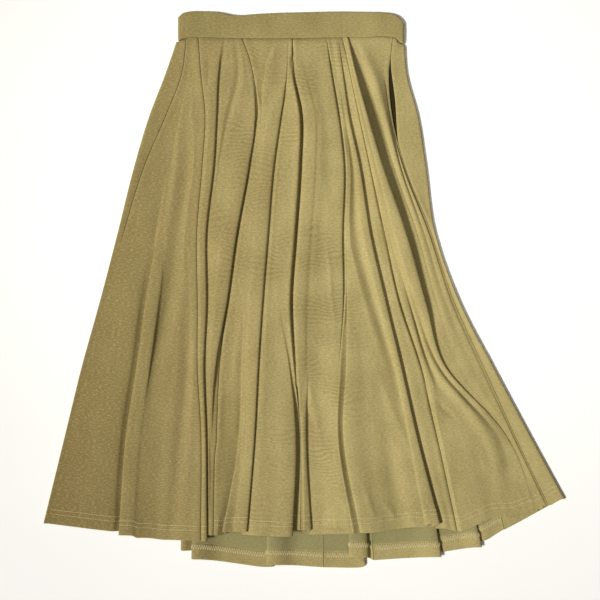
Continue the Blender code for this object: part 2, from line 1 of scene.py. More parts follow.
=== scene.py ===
"""A pleated, gored midi skirt in heavy olive double knit, laid flat with its front up.

+X runs across the skirt, +Y from hem to waist and +Z up from the surface it lies on. The tables
and sizes are in millimetres, and the meshes in metres.

The cloth is one ring at each station between waist seam and hem: over the front from the left side
seam to the right one, round the right edge, back along the surface and round the left edge. The
seams cut the ring into gores. Each gore is a thin shell with its creases, rolled seam edges and
turned hem, and the hem is sewn with a twin-needle row outside and its looper threads inside.
"""

import math
from bisect import bisect_left
from collections import namedtuple
from functools import lru_cache

import bpy
import numpy as np
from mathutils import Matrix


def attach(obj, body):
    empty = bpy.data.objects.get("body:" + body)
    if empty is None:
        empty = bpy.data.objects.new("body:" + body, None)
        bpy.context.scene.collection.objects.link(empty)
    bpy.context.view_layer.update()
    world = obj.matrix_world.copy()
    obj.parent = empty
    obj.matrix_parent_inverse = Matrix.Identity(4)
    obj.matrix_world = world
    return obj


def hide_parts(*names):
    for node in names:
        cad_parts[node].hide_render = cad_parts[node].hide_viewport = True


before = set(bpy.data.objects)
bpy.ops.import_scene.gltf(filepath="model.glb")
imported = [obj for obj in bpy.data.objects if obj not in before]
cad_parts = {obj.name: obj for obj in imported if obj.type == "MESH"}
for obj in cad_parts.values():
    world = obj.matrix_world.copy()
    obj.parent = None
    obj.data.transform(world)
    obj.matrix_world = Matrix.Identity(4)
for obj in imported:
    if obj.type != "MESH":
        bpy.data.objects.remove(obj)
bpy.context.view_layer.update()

MM = 0.001

# Overall sizes
MIDDLE_ACROSS = 0.36  # the middle of the outline in the across values of the tables below
LENGTH = 800.0  # top of the waistband to the lowest point of the back hem
CLOTH = 1.1  # thickness of the double knit
SEAM_GAP = 0.3  # between two gores at a seam
LAYER_GAP = 0.5  # between two layers that lie on each other
BAND_CLOTH = 2.4  # the waistband is doubled
BAND_MIDDLE = -18.5
BAND_INSET = 2.6  # the dressed band ends this far inside its outermost points
BAND_FACE = 34.0  # the rows of its face are counted on this depth
BAND_HOLLOW = 0.8  # between the front and back of the flattened waistband
EDGE_ROLL = 3.4  # height of the roll where the cloth turns over at each side
SEAM_HALF = 1.6  # the flat stretch on each side of a seam
FRONT_LIES_DOWN = 150.0  # the lift between two folds of the front fades over this distance
NOSE_STEPS = 5  # samples in each rounded corner of a lap
PLAIN_STEPS = 3  # and at any other point

# How finely the shell follows the cloth
CLOTH_STEP = 3.2  # widest step across
DOWN_STEP = 6.5  # step down the skirt, above the hem
MIDDLE_LONG = 722.0  # from waist to hem where the rows below are counted
WAIST_STEPS = (0, 0.25, 0.7, 1.4, 2.6, 4.5, 7.5, 11.5)  # rows this far below the waist
HEM_STEPS = (  # and rows this far above the hem
    34, 31, 28, 25.5, 23.4, 22.6, 22, 21, 19.5, 18, 16.5,
    15, 13.5, 12, 10, 8, 6, 4, 2.5, 1.4, 0.7, 0.25, 0,
)
EDGE_STEPS = (0, 0.2, 0.55, 1.1, 1.9, 2.9)  # columns beside a seam
EDGE_EASE = 14.0  # the columns further in are moved up to this far from it

# Sewing
HEM_TURN = 22.5  # how deep the hem is turned up
HEM_PLY = 0.65  # how much the turned ply adds on the inside
NEEDLE_ROWS = (14.6, 21.0)  # how far above the hem the twin needles sew
TURNED_ROWS = sum(h < HEM_TURN for h in HEM_STEPS)
STITCH_PITCH = 3.4  # from one stitch to the next
STITCH_LENGTH = 2.5
TUBE_SIDES = 5
THREAD = 0.62  # drawn about twice as thick as the real thread, so that it shows
# The paths of the threads: share of the length, share of the way between the needle rows, height
NEEDLE_PATH = ((0, 0, -0.3), (0.2, 0, 0.1), (0.5, 0, 0.2), (0.8, 0, 0.1), (1, 0, -0.3))
LOOPER_PATH = (
    (0, 0, -0.1), (0.16, 0.5, 0.3), (0.3, 1, 0.15),
    (0.5, 1.06, 0.3), (0.66, 0.5, 0.35), (1, 0, -0.1),
)
SHUT_FROM = 290.0  # the left side seam turns out of sight from here down
SHUT_OVER = 60.0  # over this distance

# Levels down from the top of the waistband. Every row below has one value for each level.
LEVELS = (38, 90, 150, 220, 320, 420, 510, 600, 760)
LEFT_EDGE = (-181, -199, -222, -243, -268, -294, -319, -341, -380)
RIGHT_EDGE = (144, 148, 164, 175, 189, 225, 272, 320, 407)
FRONT_LIES_AT = (4.4, 3.2, 2.4, 2.2, 2.2, 2.2, 2.2, 2.2, 2.2)  # height of the front where it rests

# The waistband, from left to right: across, how far down its top edge lies, and its lower seam
BAND = (
    (-181, 9, 43), (-175, 3, 40), (-166, 0.5, 38), (-150, 0, 37.5),
    (-125, 1, 38), (-99, 5.5, 38.5), (-70, 4, 39), (-40, 2.5, 39),
    (0, 1.5, 38.5), (52, 0.5, 37.5), (90, 1, 37.5), (112, 1.5, 36),
    (125, 3, 37.5), (134, 6.5, 42), (140, 12, 45.5), (144, 20, 47),
)
BAND_ACROSS, BAND_TOP, BAND_SEAM = zip(*BAND)

# A fold: over says which side's cloth lies over the other's, across and rise its place and height
# at each level, lap how far it turns under, slit how far away the other side comes up again and
# level to what share of the rise. hem is how far down the hem lies left and right of the fold.
# seam names the seam that runs in the fold, if one does.
Fold = namedtuple("Fold", "name over across rise lap slit level hem seam", defaults=(None,))
Seam = namedtuple("Seam", "name across rise hem")

LEFT_SEAM = (-169, -176, -199, -229, -260, -288, -313.5, -336, -375)
RIGHT_SEAM = (126, 122, 127, 144, 182, 215, 255.5, 297.5, 374)

FLAT = (0,) * len(LEVELS)

FRONT = (
    Fold("side_pleat", "right", (-165, -170, -183, -195, -211, -228, -240, -254, -266),
         (0, 0, 0, 0, 3, 9, 10, 10, 10), 9, 10, 0.75, (747, 752)),
    Fold("side_dip", "valley", (-162, -163, -166, -167, -181, -194, -213, -225, -236),
         (0, 0, 1, 4, 4, 4, 2, 0, 0), 0, 16, 0, (756, 756)),
    Fold("low_side_dip", "valley", (-158, -157, -154, -155, -167, -165, -167, -175, -190),
         (0, 0, 0, 0, 0, 1, 4, 4, 3), 0, 13, 0, (759, 759)),
    Seam("A", (-152, -148, -142, -146, -154, -153, -153, -148, -148),
         (0, 1, 2, 3, 3, 3, 3, 4, 4), 760),
    Fold("strip", "left", (-115, -123, -126, -130, -141, -140.5, -144, -141, -139),
         (0, 5, 6, 7, 7, 7, 6, 6, 6), 4, 4, 0.5, (760, 752)),
    Fold("short_crease", "valley", (-99, -94, -108, -122, -130, -131, -136, -136, -134.5),
         (0, 3, 3, 1, 0, 0, 0, 0, 0), 0, 6, 0, (752, 752)),
    Fold("crossing_pleat", "left", (-92, -75, -70, -79, -97, -111, -127, -132, -131),
         (0, 0, 4, 8, 10, 9, 6, 1, 0), 8, 4, 0.6, (752, 752), "B"),
    Fold("low_pleat", "right", (-39, -56.5, -60.5, -68, -81, -86, -89, -92, -119),
         (0, 5, 1, 0, 0, 0, 2, 3.5, 8), 5, 6, 0.6, (752, 747.5)),
    Fold("long_pleat", "left", (-23, -25, -33.5, -43.5, -52, -60, -66, -70.5, -83),
         (0, 1.5, 7, 9, 9, 9, 9, 9, 9), 8, 4, 0.75, (747, 752)),
    Fold("middle_left", "left", (-19, -20, -22, -28, -34, -36, -21, -12, -17),
         (0, 0, 0, 0, 0, 0, 2, 8.5, 9), 6, 3, 0, (753, 745)),
    Fold("middle_slit", "right", (-15, -12, -1, -2, -8.5, -15, -10, -4.5, -3),
         (0, 6, 12, 13, 11, 10, 5.5, 0, 0), 5, 4, 0.85, (745, 745), "C"),
    Fold("wedge", "left", (-3, 6, 20, 20, 14, 8, 6, 3, 11),
         (0, 0, 0, 0, 0, 0, 0, 5, 6), 5, 3, 0.8, (745, 752)),
    Fold("upper_crease", "left", (32, 39, 49, 57, 55, 56, 50, 46, 70),
         (0, 5, 8, 8, 7, 3, 0, 0, 0), 4, 3.5, 0.6, (750, 750)),
    Fold("lower_crease", "right", (36, 44, 54, 63.5, 62, 62, 60.5, 56, 83),
         (0, 0, 0, 0, 0, 2, 7, 9, 8), 7, 9, 0.8, (749, 748)),
    Fold("slant_dip", "valley", (42, 49.5, 59, 71, 76, 101, 128.5, 145.5, 174),
         (0, 0, 1, 4, 5, 5, 4, 1, 0), 0, 12, 0, (740, 740)),
    Fold("slant_pleat", "left", (49, 56, 64, 79, 95, 118, 139.5, 159.5, 201),
         (0, 3, 5, 6, 6.5, 6.5, 7, 7.5, 8), 9, 9, 0.35, (735.5, 743)),
    Fold("seam_lap", "right", (57.5, 68, 81, 97, 119.5, 141.5, 171, 193, 227),
         (0, 0, 0, 1, 4, 6, 5, 2, 1), 3, 3, 0.5, (746.5, 746.5), "D"),
    Fold("slant_ridge", "ridge", (60, 71, 84, 100.5, 125, 156, 188, 259, 288),
         (0, 0, 0, 0, 0, 2, 6, 6, 1), 0, 14, 0, (728, 728)),
    Fold("broad_pleat", "left", (63, 74.5, 91, 112, 147, 175.5, 203, 284, 345),
         (2, 12, 18, 18, 15, 10, 3.5, 1.2, 0), 8, 13, 0.12, (718, 718)),
    Fold("upper_ridge", "ridge", (78, 98, 116, 135, 168, 197, 233, 291, 360),
         (0, 7, 8, 6, 3, 2, 1, 0, 0), 0, 12, 0, (715, 715)),
    Fold("side_step", "left", (123, 119, 124, 141, 180, 213, 253.5, 295.5, 372),
         (0, 0, 0, 2.5, 2.2, 1.5, 1, 1, 1), 0, 6, 0.1, (711, 710), "R"),
)

BACK = (
    Fold("back_pleat_1", "right", (-150, -152, -155, -158, -163, -168, -172, -175, -176),
         (0, 0, 0, 0, 0, 0, 2, 4, 5), 9, 6, 0.2, (754, 775)),
    Fold("back_pleat_2", "right", (-135, -137, -139, -142, -146, -150, -153, -156, -160),
         (0, 0, 0, 0, 0, 0, 2, 4, 7), 6, 5, 0.5, (775, 787)),
    Fold("back_pleat_3", "right", (-45, -46, -47, -48, -49, -50, -51, -52, -53),
         (0, 0, 0, 0, 0, 2, 3.5, 5, 8), 9, 7, 0.1, (799, 795)),
    Seam("1", (2, 4, 6, 9, 13, 17, 21, 25, 28), FLAT, 799.5),
    Fold("back_pleat_4", "right", (26, 29, 32, 36, 42, 48, 54, 59, 65),
         (0, 0, 0, 0, 0, 2, 3.5, 5, 8), 22, 6, 0.1, (800, 784)),
    Seam("2", (50, 54, 58, 63, 71, 78, 85, 91, 99), (0, 0, 0, 0, 0, 0, 0, 0, 1), 789),
    Fold("back_pleat_5", "left", (76, 82, 89, 98, 114, 131, 149, 167, 193),
         (0, 0, 0, 0, 0, 0, 2, 3.5, 5.5), 6, 3, 0, (784, 777), "3"),
    Fold("back_pleat_6", "left", (100, 107, 116, 128, 149, 172, 195, 218, 253),
         (0, 0, 0, 0, 0, 0, 2, 3.5, 5), 6, 5, 0.3, (770, 761)),
    Seam("4", (118, 126, 136, 150, 176, 202, 229, 255, 292), FLAT, 745),
)

REST_POINTS = (24, 55, 85, 130)  # folds wider apart than this get one more point between them

# The seams that run inside a fold
INNER_SEAMS = {
    "B": (-90, -73, -71, -81, -99, -113, -121.5, -125, -125),
    "C": (-16.5, -13.5, -3, -4, -10.5, -17, -12, -8, -11),
    "D": (55, 65, 78, 94, 116.5, 139, 168.5, 189.5, 223),
    "R": RIGHT_SEAM,
    "3": (79, 85, 92, 101, 117, 134, 152, 170, 196.5),
}
EDGE_HEMS = (736, 701)  # how far down the hem lies at the left and right edges
WIDE_SLIT = 9.0  # from this width a slit has a floor
SLIT_FLOOR = 0.22  # and this is how far across the slit it goes
STEEP_STEP = 1.5  # half the length of the step that a low fold leaves
FADED_STEP = 4.5  # and of the softer one that a faded fold leaves
STANDS = 2.5  # a fold of this rise stands up
FLAT_LAP = 3.2  # from this rise a lap turns under; below it only a step is left

# The mouth of the pocket is open in the right side seam
MOUTH = (64, 190)
MOUTH_OPEN = 6.5
BAG_CLOTH = 1.0
BAG_DOWN = (60, 252)  # top and bottom of the pocket bag
BAG_WIDE = 112.0
BAG_NARROW = 14.0  # its width at its top and bottom
BAG_MARGIN = 26.0  # the front lies over the bag this far round it
BAG_LIFT_REACH = 50.0  # and comes down again over this
BAG_ROWS = 41
BAG_COLUMNS = 31


def ease(x):
    """0 below 0, 1 above 1, and a smooth rise between."""
    x = min(max(x, 0.0), 1.0)
    return x * x * (3 - 2 * x)


def blend(a, b, share):
    return a + (b - a) * share


@lru_cache(maxsize=None)
def slopes_of(xs, ys):
    return tuple(np.gradient(ys, xs))


def smooth(xs, ys, x):
    """A smooth line through points, read at x. Beyond its ends it goes straight on."""
    k = min(max(bisect_left(xs, x) - 1, 0), len(xs) - 2)
    slopes = slopes_of(xs, ys)
    span = xs[k + 1] - xs[k]
    u = (x - xs[k]) / span
    if u < 0 or u > 1:
        end = k + (u > 1)
        return ys[end] + slopes[end] * (x - xs[end])
    return (
        ys[k] * (1 + 2 * u) * (1 - u) ** 2
        + slopes[k] * span * u * (1 - u) ** 2
        + ys[k + 1] * u * u * (3 - 2 * u)
        + slopes[k + 1] * span * u * u * (u - 1)
    )


def along(values, down):
    """A row's value at a distance down."""
    return smooth(LEVELS, values, down)


def rise_of(row, down):
    return max(0.0, along(row.rise, down))


def band_seam(across):
    return smooth(BAND_ACROSS, BAND_SEAM, across)


def waist(across):
    """Where the skirt's own top edge lies, just below the waistband."""
    corner = ease((abs(across - BAND_MIDDLE) - 132) / 16)
    return band_seam(across) + SEAM_GAP + 0.5 * corner


def hump(distance, flat, reach):
    """1 within flat of the middle, falling to 0 by reach."""
    return 1 - ease((abs(distance) - flat) / (reach - flat))


def rests_at(across, down):
    """The height of the front's cloth where it rests on the back, its folds and the pocket bag."""
    height = along(FRONT_LIES_AT, down)
    for row in BACK:
        if isinstance(row, Fold):
            side = 1 if row.over == "right" else -1
            off = (across - along(row.across, down)) * side
            middle = 7 + row.lap / 2
            over = rise_of(row, down) * hump(off - middle, 16 + row.lap / 2, 48 + row.lap / 2)
            height = max(height, CLOTH * 1.5 + LAYER_GAP + over)
    edge = along(RIGHT_SEAM, down)
    middle_down = (BAG_DOWN[0] + BAG_DOWN[1]) / 2
    half_down = (BAG_DOWN[1] - BAG_DOWN[0]) / 2 + BAG_MARGIN
    half_wide = BAG_WIDE / 2 + 10
    covered = hump(down - middle_down, half_down, half_down + BAG_LIFT_REACH) * hump(
        across - (edge - BAG_WIDE / 2 + 4), half_wide, half_wide + BAG_LIFT_REACH
    )
    over_bag = CLOTH * 1.5 + 2 * BAG_CLOTH + 3.2 * LAYER_GAP
    return max(height, blend(height, over_bag, covered))


Point = namedtuple("Point", "across down height steps seam", defaults=(PLAIN_STEPS, None))


def rest(ground, across, down, over=0.0, steps=PLAIN_STEPS):
    """A point of the cloth at a height over where it rests."""
    return Point(across, down, ground(across, down) + over, steps)


def over_rest(ground, point):
    return point.height - ground(point.across, point.down)


def on_line(row, hem, share):
    """How far down and across a row's line lies at a share of the way from waist to hem."""
    down = blend(waist(row[0]), hem, share)
    return down, along(row, down)


def place(row, share, side):
    """Where a row lies at a share of the way from waist to hem: (across, down, rise). side picks
    the hem left (0) or right (1) of a fold."""
    hem = row.hem[side] if isinstance(row, Fold) else row.hem
    down, across = on_line(row.across, hem, share)
    return across, down, rise_of(row, down)


def lap(row, share, room, climb, ground, seam_across):
    """The points of a lap from its crest, round its nose and back under, to the other side. room is
    what it may take on each side, and climb how far away the next standing folds are."""
    turned = row.over == "right"
    upper, lower = (1, 0) if turned else (0, 1)
    way = -1 if turned else 1
    nose, nose_down, rise = place(row, share, upper)
    foot, foot_down, foot_rise = place(row, share, lower)
    over_room, under_room = (room[1], room[0]) if turned else room
    most = min(1.2 * climb[turned], 0.5 + 2 * under_room)
    rise, foot_rise = min(rise, most), min(foot_rise, most)
    step = STEEP_STEP if row.seam else blend(STEEP_STEP, FADED_STEP, ease(FLAT_LAP - rise))
    small = min(step, 0.2 * min(over_room, under_room))
    full = ease((rise - FLAT_LAP) / 2.4)
    turn_in = row.lap * ease((rise - STANDS) / 5)
    crest = min(4 + 0.55 * rise + turn_in, over_room)
    under = max(0.0, min(turn_in, crest - 2.5)) * full - small * (1 - full)
    middle_down = (nose_down + foot_down) / 2
    near = small * (1 - full)
    shape = [
        (nose - way * crest, nose_down, rise, PLAIN_STEPS),
        (nose - way * near, nose_down, rise, NOSE_STEPS),
        (nose - way * near / 3, nose_down, rise * blend(0.67, 0.5, full), PLAIN_STEPS),
        (nose - way * blend(-near / 3, under, full), middle_down,
         rise * blend(0.33, 0.5, full), NOSE_STEPS),
        (nose - way * under, foot_down, 0, PLAIN_STEPS),
    ]
    points = [rest(ground, *row) for row in shape]
    reach = min(row.slit + small, under_room)
    if row.seam:
        half = min(SEAM_HALF, 0.2 * under_room)
        spare = min(1.2, 0.17 * under_room)
        at = min((seam_across - nose) * way, under_room - half - spare)
        at = max(at, spare + half - under)
        for step in (-half, half):
            points.append(rest(ground, nose + way * (at + step), foot_down))
        first = len(points) - 2 if way > 0 else len(points) - 1
        points[first] = points[first]._replace(seam=row.seam)
        reach = max(reach, at + half + spare)
    floor = 1.8
    if row.slit >= WIDE_SLIT:
        floor = SLIT_FLOOR * reach
        points.append(rest(ground, nose + way * floor, foot_down))
    level = min(foot_rise * row.level, max(0.0, 2.2 * (reach - floor)))
    if full > 0.05:
        level = min(level, max(0.0, rise - FLAT_LAP))
    points.append(rest(ground, nose + way * reach, foot_down, level))
    return points[::-1] if turned else points


def soft(row, share, room, ground):
    """The points of a soft valley or ridge."""
    x, down, rise = place(row, share, 0)
    left, right = (min(row.slit, most) for most in room)
    sides, middle = (rise, 0) if row.over == "valley" else (0.25 * rise, rise)
    shape = ((x - left, sides), (x, middle), (x + right, sides))
    return [rest(ground, at, down, over) for at, over in shape]


def plain_seam(row, share, room, ground):
    x, down, rise = place(row, share, 0)
    half = min(SEAM_HALF, *room)
    z = ground(x, down) + rise
    return [Point(x - half, down, z, seam=row.name), Point(x + half, down, z)]


def lifted(groups, rises, ground, lies_down):
    """The groups with the faded folds raised to the cloth that the folds beside them hold up. One
    with a seam in it keeps its own slope."""
    over = [[over_rest(ground, point) for point in group] for group in groups]
    faded = [1 - ease(rise / 4) for rise in rises]
    lifts = [[0.0] * len(group) for group in groups]
    for _ in range(12):
        for k in range(1, len(groups) - 1):
            before, after = groups[k - 1][-1].across, groups[k + 1][0].across
            ends = over[k - 1][-1] + lifts[k - 1][-1], over[k + 1][0] + lifts[k + 1][0]
            wide = max(after - before, 1.0)
            held = faded[k] * math.exp(-wide / 2 / lies_down)
            shares = [min(max((p.across - before) / wide, 0.0), 1.0) for p in groups[k]]
            if any(p.seam for p in groups[k]):
                shares = [(shares[0] + shares[-1]) / 2] * len(shares)
            lifts[k] = [held * blend(*ends, share) for share in shares]
    return [
        [p._replace(height=p.height + lift) for p, lift in zip(*pair)]
        for pair in zip(groups, lifts)
    ]


def climbs(at, rises):
    """How far it is from each row to the next standing fold on its left and on its right."""
    result = []
    for k in range(1, len(at) - 1):
        left = [x for x, rise in zip(at[:k], rises) if rise > STANDS] or at[:1]
        right = [x for x, rise in zip(at[k + 1:], rises[k + 1:]) if rise > STANDS] or at[-1:]
        result.append((at[k] - left[-1], right[0] - at[k]))
    return result


def layer(rows, ends, share, ground, lies_down):
    """The control points of one layer, from left to right, without its edges."""
    left, right = (on_line(end, hem, share)[1] for end, hem in zip(ends, EDGE_HEMS))
    at = [left, *((place(r, share, 0)[0] + place(r, share, 1)[0]) / 2 for r in rows), right]
    rises = [0.0] + [place(r, share, 0)[2] for r in rows] + [0.0]
    climb = climbs(at, rises)
    groups = []
    for k, row in enumerate(rows):
        # between two rows, the one that rises more may take more of the way
        room = [
            (at[n + 1] - at[n]) * (0.08 + 0.78 * (rises[k + 1] + 1) / (rises[n] + rises[n + 1] + 2))
            for n in (k, k + 1)
        ]
        if isinstance(row, Seam):
            groups.append(plain_seam(row, share, room, ground))
        elif row.over in ("left", "right"):
            seam_across = 0.0
            if row.seam:
                under_side = 0 if row.over == "right" else 1
                seam_across = along(INNER_SEAMS[row.seam], place(row, share, under_side)[1])
            groups.append(lap(row, share, room, climb[k], ground, seam_across))
        else:
            groups.append(soft(row, share, room, ground))
    if lies_down:
        groups = lifted(groups, rises[1:-1], ground, lies_down)
    points = []
    for k, group in enumerate(groups):
        if k:
            before, after = groups[k - 1][-1], group[0]
            widest = max(np.subtract(rows[k].across, rows[k - 1].across))
            count = sum(widest > wide for wide in REST_POINTS)
            gap = after.across - before.across
            over = over_rest(ground, before), over_rest(ground, after)
            for n in range(count):
                s = (n + 1) / (count + 1)
                x, down = blend(before.across, after.across, s), blend(before.down, after.down, s)
                z = blend(*over, s) * math.exp(-gap / lies_down) if lies_down else 0.0
                points.append(rest(ground, x, down, z))
        points += group
    return points


def on_surface(across, down):
    return CLOTH / 2


def mouth_gap(down):
    """How far the pocket's mouth stands open."""
    s = (down - MOUTH[0]) / (MOUTH[1] - MOUTH[0])
    return MOUTH_OPEN * math.sin(math.pi * s) ** 1.3 if 0 < s < 1 else 0.0


def rolled(edge, down, inward, roll):
    """The points round an edge of the skirt, from its top to the surface."""
    low, high = CLOTH / 2, CLOTH / 2 + EDGE_ROLL
    return [
        Point(edge + inward * roll, down, high),
        Point(edge, down, high, NOSE_STEPS),
        Point(edge, down, low, NOSE_STEPS),
        Point(edge + inward * 5, down, low),
    ]


def right_turn(share):
    """Round the right edge, from the side seam on top to the surface."""
    down, edge = on_line(RIGHT_EDGE, EDGE_HEMS[1], share)
    seam_down = place(FRONT[-1], share, 1)[1]
    inner = min(along(RIGHT_SEAM, seam_down) + mouth_gap(seam_down) + 4, edge - 2.5)
    return rolled(edge, down, -1, min(6.0, 0.4 * (edge - inner)))


def left_turn(share):
    """Round the left edge, from the surface to just past the side seam on top."""
    down, edge = on_line(LEFT_EDGE, EDGE_HEMS[0], share)
    seam = along(LEFT_SEAM, down)
    turn = rolled(edge, down, 1, min(6.0, 0.4 * (seam - edge)))[::-1]
    half = min(SEAM_HALF, 0.3 * (seam - edge))
    height = blend(turn[-1].height, rests_at(seam, down) + 0.4, ease((seam - edge - 5) / 10))
    return turn + [Point(seam - half, down, height, seam="L"), Point(seam + half, down, height)]


def ring(share):
    """The control points all round at a share of the way from waist to hem, starting at the left
    side seam and going over the front first."""
    front = layer(FRONT, (LEFT_SEAM, RIGHT_EDGE), share, rests_at, FRONT_LIES_DOWN)
    front[-2] = front[-2]._replace(across=front[-2].across + mouth_gap(front[-3].down))
    front[-1] = front[-1]._replace(across=max(front[-1].across, front[-2].across + 0.5))
    back = layer(BACK, (LEFT_EDGE, RIGHT_EDGE), share, on_surface, None)
    # a seam is tagged at its first point in the ring's order
    tags = [None] + [point.seam for point in back[:-1]]
    swapped = [point._replace(seam=tag) for point, tag in zip(back, tags)]
    left = left_turn(share)
    return left[4:] + front + right_turn(share) + swapped[::-1] + left[:4]


# The smaller creases of the front: height above the cloth, half width, and the line they run on.
Crease = namedtuple("Crease", "name height wide path")
CREASES = (
    Crease("beside the broad pleat", 0.9, 4, ((93, 81), (102, 99), (106, 112), (112, 141))),
    Crease("end of the slanted seam", -1.5, 2.6, ((186, 556), (199, 570), (221, 587))),
    Crease("dip of the right panel", -1.3, 6, ((247, 556), (267, 576), (285, 602), (302, 626))),
    Crease("ridge below it", 1.1, 6, ((251, 608), (256, 635), (268, 672))),
    Crease("upper hip", 0.9, 3, ((132, 86), (139, 97), (145, 108))),
    Crease("lower hip", 0.9, 3, ((141, 128), (147, 141), (153.5, 154))),
    Crease("middle panel", 0.9, 8, ((26, 200), (34, 292), (36, 347), (40, 420))),
    Crease("middle panel, fine", 0.8, 2.2,
           ((28.8, 307), (37.4, 372), (37.4, 386), (43, 441), (44.6, 495))),
    Crease("above the wedge", 1.2, 5, ((3, 514), (10, 551), (19, 587), (26, 644))),
    Crease("left of the long pleat", 1.1, 5, ((-85, 432), (-95, 478), (-100, 530), (-106, 551))),
    Crease("dip left of it", -1.0, 4, ((-89, 541), (-91, 587), (-93, 644), (-98, 674))),
    Crease("hem ridge", 1.1, 4, ((85, 671), (92, 700), (105, 740))),
    Crease("second hem ridge", 1.0, 4, ((111, 698), (124, 716), (138, 736))),
    Crease("broad panel", 0.9, 5,
           ((96, 487), (111, 530), (125, 570), (138, 598), (158, 644), (170, 662))),
    Crease("left dip under the band", -0.7, 4, ((-137, 60), (-137, 90), (-137, 116))),
)

# The shallow waves of the front
SWAY_SEED = 11
SWAY_WAVES = 9
SWAY_HIGH = 0.16

# Relief beside a seam, below the band and at the hem: height, place and half width of each bell
SEAM_RIDGE = (0.22, 5.2, 2.6)
SEAM_DIP = (0.75, 0, 1.25)
BAND_DIP = (0.9, 0, 2.2)
BAND_RIDGE = (0.25, 6, 3.5)
UNDER_HEM = 0.3  # the share of it that the hem of the back keeps
UNDER_ROLL = 0.35  # and that its seams keep


def to_world(points):
    """Across, down and height to the frame of the part, in metres."""
    points = np.asarray(points, float)
    x, y = points[..., 0] - MIDDLE_ACROSS, LENGTH / 2 - points[..., 1]
    return np.stack([x, y, points[..., 2]], axis=-1) * MM


def stations():
    """The shares of the way from waist to hem, closest together at both ends."""
    first, last = WAIST_STEPS[-1], MIDDLE_LONG - HEM_STEPS[0]
    count = round((last - first) / DOWN_STEP)
    middle = [blend(first, last, (n + 1) / (count + 1)) for n in range(count)]
    downs = (*WAIST_STEPS, *middle, *(MIDDLE_LONG - h for h in HEM_STEPS))
    return [down / MIDDLE_LONG for down in downs]


def smooth_ring():
    """The ring at every station, by station and column, and the column of each seam."""
    rings = [ring(share) for share in stations()]
    control = np.array([[point[:3] for point in points] for points in rings])
    after = (control + np.roll(control, -1, axis=1)) / 2
    before = np.roll(after, 1, axis=1)
    reach = np.linalg.norm(after - before, axis=2).max(axis=0)
    columns, starts = [], []
    for k, point in enumerate(rings[0]):
        count = max(point.steps, math.ceil(reach[k] / CLOTH_STEP))
        starts.append(len(columns))
        a, v, b = before[:, k], control[:, k], after[:, k]
        for n in range(count):
            t = n / count
            columns.append(a * (1 - t) ** 2 + 2 * v * t * (1 - t) + b * t * t)
    cuts = {p.seam: starts[(k + 1) % len(starts)] for k, p in enumerate(rings[0]) if p.seam}
    return np.stack(columns, axis=1), cuts


def half_gap(seam, down):
    """Half of what a seam stands open: the mouth of the pocket most, the turned left seam least."""
    if seam == "L":
        return SEAM_GAP / 2 * (1 - 0.85 * ease((down - SHUT_FROM) / SHUT_OVER))
    return SEAM_GAP / 2 + (mouth_gap(down) / 2 if seam == "R" else 0.0)


def columns_of(run, gaps):
    """Where a gore's columns lie along a station: its own, moved in, and a few beside each seam."""
    total = run[-1]
    ease_to = min(EDGE_EASE, total / 2.2)
    first, last = (gap + EDGE_STEPS[-1] + 0.7 for gap in gaps)
    own = np.where(run < ease_to, first + run * (ease_to - first) / ease_to, run)
    left = total - run
    own = np.where(left < ease_to, total - last - left * (ease_to - last) / ease_to, own)
    start = [gaps[0] + e for e in EDGE_STEPS]
    end = [total - gaps[1] - e for e in EDGE_STEPS[::-1]]
    return np.concatenate([start, own, end])


def run_of(line):
    """The distance along a line of points."""
    return np.concatenate([[0], np.cumsum(np.linalg.norm(np.diff(line, axis=0), axis=1))])


def read(points, run, place):
    """The points of a line read at a distance along it, or at several."""
    return np.stack([np.interp(place, run, points[:, k]) for k in range(3)], axis=-1)


def gore_cloth(at, cuts, first, last):
    """The middle of the cloth between two seams, with each point's distance to the nearer seam."""
    start, end = cuts[first], cuts[last]
    if end <= start:
        end += at.shape[1]
    cloth = at[:, np.arange(start, end + 1) % at.shape[1]]
    grid, to_first, to_last, across = [], [], [], []
    for line in cloth:
        run = run_of(line)
        gaps = half_gap(first, line[0][1]), half_gap(last, line[-1][1])
        places = columns_of(run, gaps)
        grid.append(read(line, run, places))
        to_first.append(places - gaps[0])
        to_last.append(run[-1] - gaps[1] - places)
        across.append(places - run[-1] / 2)
    grid = np.array(grid)
    grid[0, :, 1] = [waist(x) for x in grid[0, :, 0]]
    return grid, np.array(to_first), np.array(to_last), np.array(across)


def unit(ways):
    return ways / np.maximum(np.linalg.norm(ways, axis=-1), 1e-9)[..., None]


def square_to(grid):
    """The way out of the cloth at each point of a grid."""
    return unit(np.cross(np.gradient(grid, axis=1), np.gradient(grid, axis=0)))


def bell(distance, wide):
    """1 in the middle, falling off on both sides."""
    return np.exp(-((distance / wide) ** 2))


def mound(shape, distance):
    high, place, wide = shape
    return high * bell(distance - place, wide)


def rise_by(x):
    """The same rise as ease, for many values at once."""
    x = np.clip(x, 0, 1)
    return x * x * (3 - 2 * x)


def crease_at(crease, across, down):
    """How far a crease lifts the cloth. It fades out towards both of its ends."""
    path = np.array(crease.path, float)
    run = run_of(path)
    best = np.full(across.shape, 1e9)
    place = np.zeros(across.shape)
    for k in range(len(path) - 1):
        (ax, ay), (bx, by) = path[k], path[k + 1]
        long = run[k + 1] - run[k]
        t = ((across - ax) * (bx - ax) + (down - ay) * (by - ay)) / long**2
        t = np.clip(t, 0, 1)
        away = np.hypot(across - ax - t * (bx - ax), down - ay - t * (by - ay))
        nearer = away < best
        best = np.where(nearer, away, best)
        place = np.where(nearer, (run[k] + t * long) / run[-1], place)
    fade = rise_by(place / 0.35) * rise_by((1 - place) / 0.35)
    return crease.height * bell(best, crease.wide) * fade


